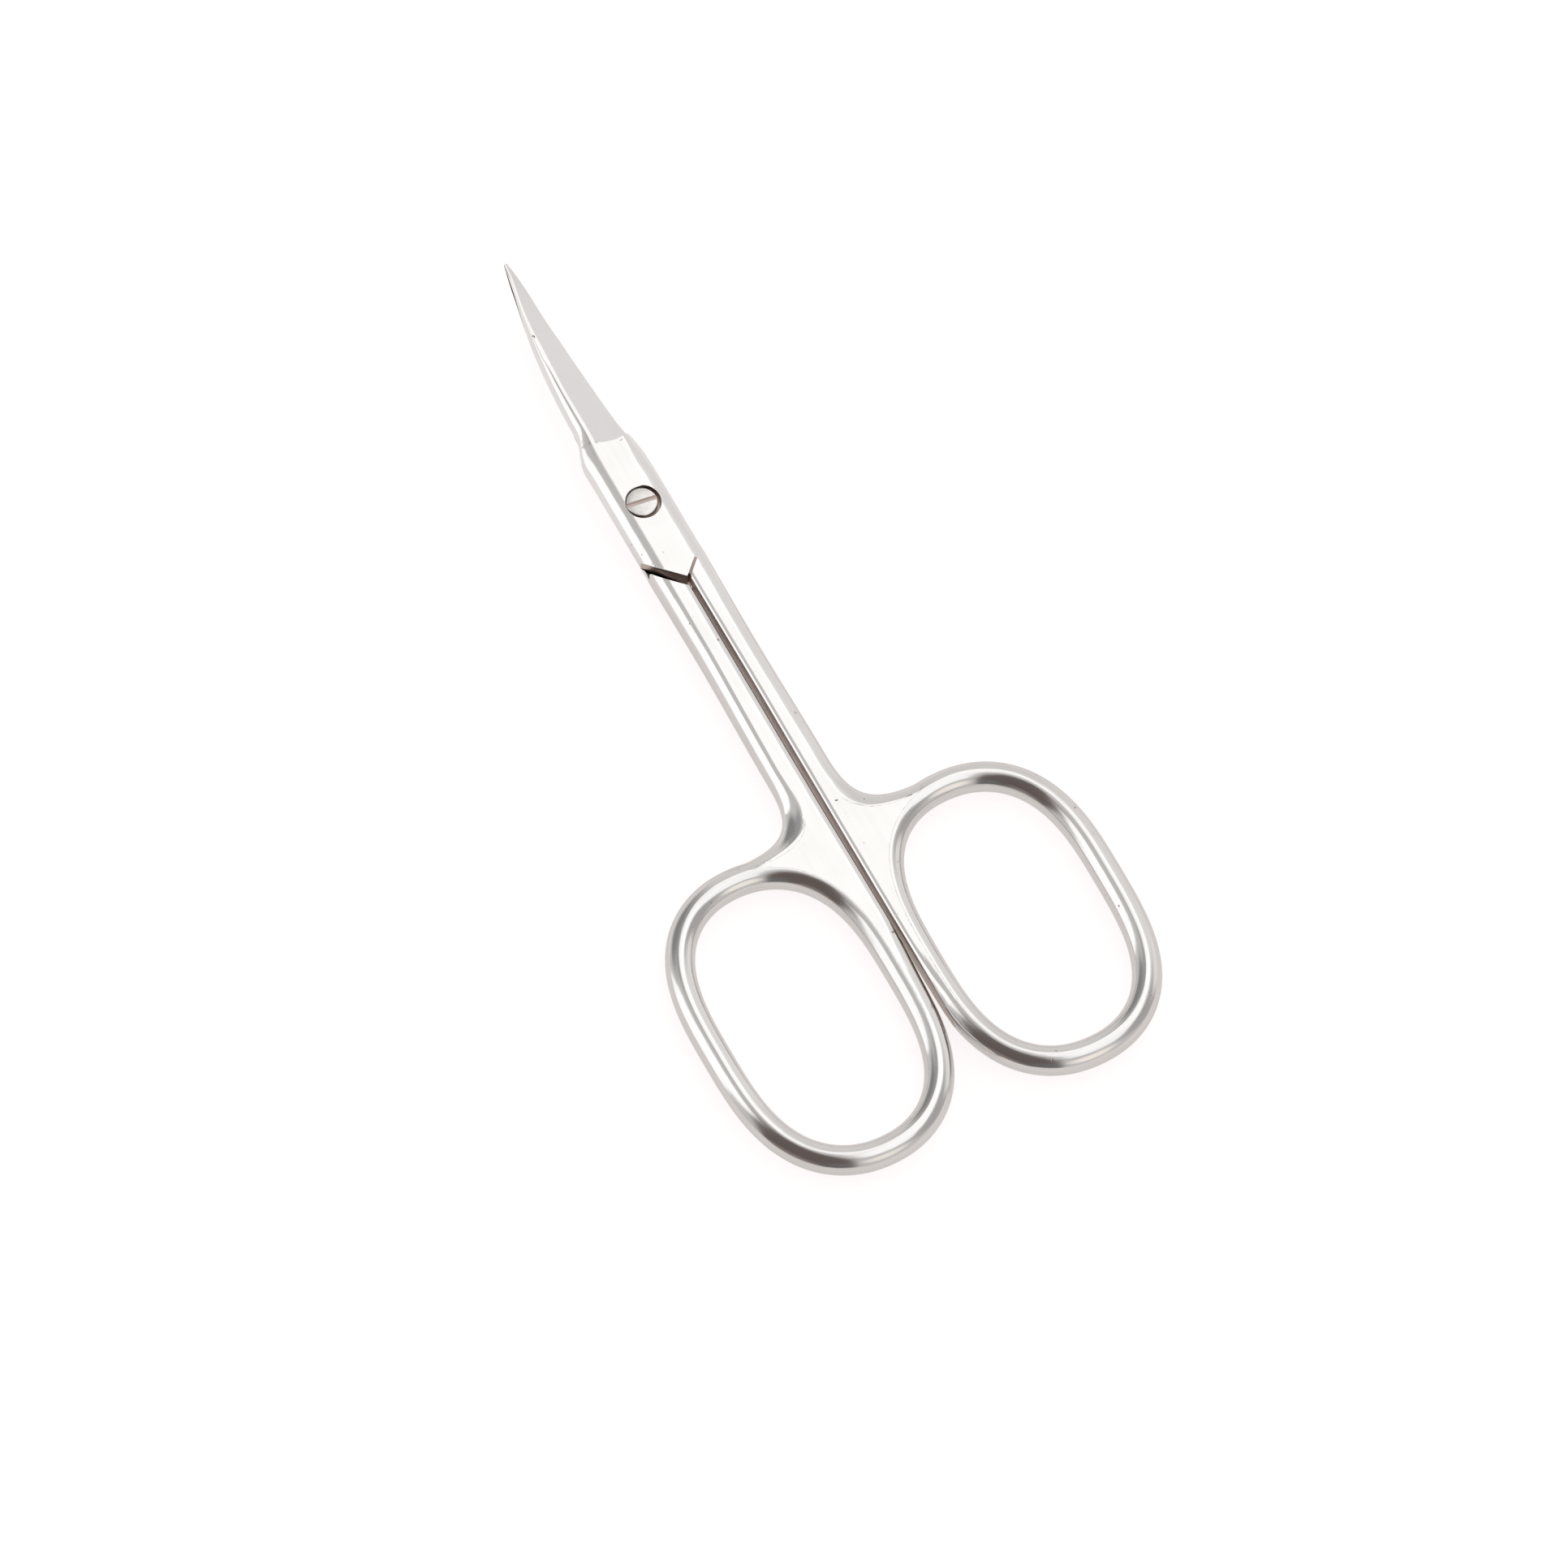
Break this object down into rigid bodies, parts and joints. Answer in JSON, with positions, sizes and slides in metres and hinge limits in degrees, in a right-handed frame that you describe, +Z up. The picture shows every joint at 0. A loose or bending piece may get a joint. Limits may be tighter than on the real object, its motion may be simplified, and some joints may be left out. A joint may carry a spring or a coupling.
{
  "type": "eyebrow scissors",
  "caption": "Small forged scissors with oval finger rings and short pointed blades that curve up towards the tips, hinged on a slotted screw.",
  "frame": {"origin": "on the ground under the middle of the closed scissors' bounding box", "axes": "+Y along the closed scissors towards the tips, +Z up out of the screw's slotted head, +X towards the ring of the upper half"},
  "size_m": [0.0396, 0.0898, 0.004],
  "materials": {
    "polished_nickel": "polished nickel plate, with matte ground blade faces",
    "screw_steel": "plain turned steel"
  },
  "bodies": {
    "lower": {"lower_half": "polished_nickel", "pivot_screw": "screw_steel"},
    "upper": {"upper_half": "polished_nickel"}
  },
  "joints": [
    {"name": "blade_pivot", "type": "hinge", "parent": "lower", "child": "upper", "pos_m": [0, 0.01949, 0.0018], "axis": [0, 0, 1], "range_deg": [0, 110]}
  ]
}
